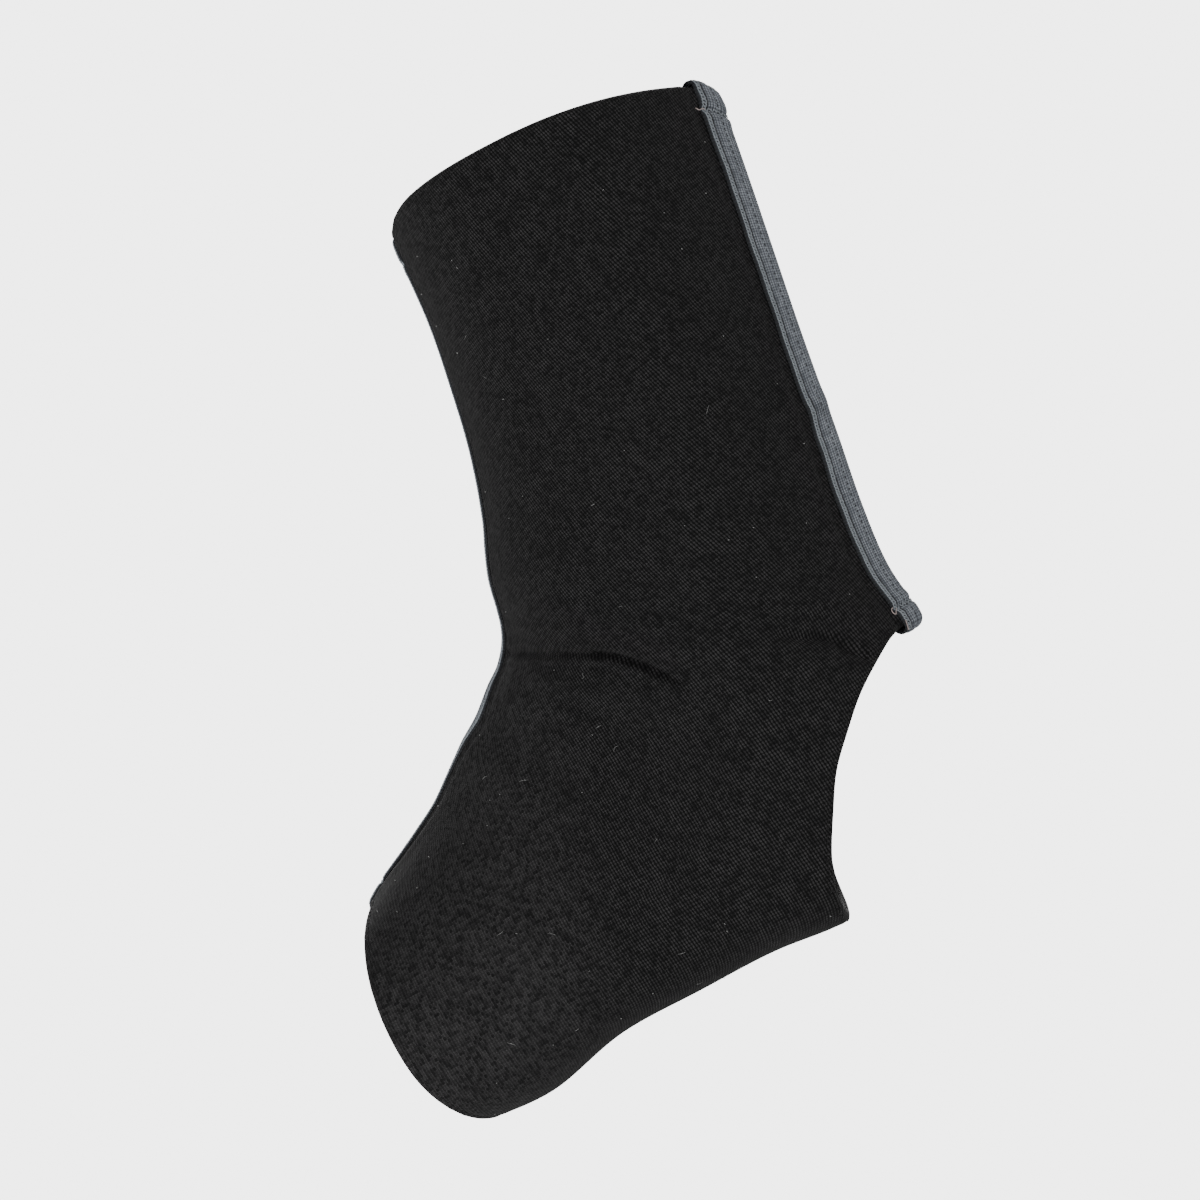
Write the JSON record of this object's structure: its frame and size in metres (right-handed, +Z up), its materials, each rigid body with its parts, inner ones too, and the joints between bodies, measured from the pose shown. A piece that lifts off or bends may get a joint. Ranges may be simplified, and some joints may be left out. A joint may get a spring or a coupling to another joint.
{
  "type": "ankle brace",
  "caption": "Pull-on foam ankle sleeve with open toes and heel, taped down its front and back seams, shaped as worn.",
  "frame": {"origin": "centre of the ankle joint, in the hollow of the sleeve, on its plane of symmetry", "axes": "-X towards the toes, +X towards the back of the leg, +Z up the leg, the sole level"},
  "size_m": [0.1666, 0.088, 0.2068],
  "materials": {
    "black_knit": "matte black nylon knit on rubber foam",
    "grey_tape": "satin grey ribbed knitted tape"
  },
  "bodies": {
    "root": {"sleeve": "black_knit", "front_seam_tape": "grey_tape", "back_seam_tape": "grey_tape"}
  },
  "joints": []
}
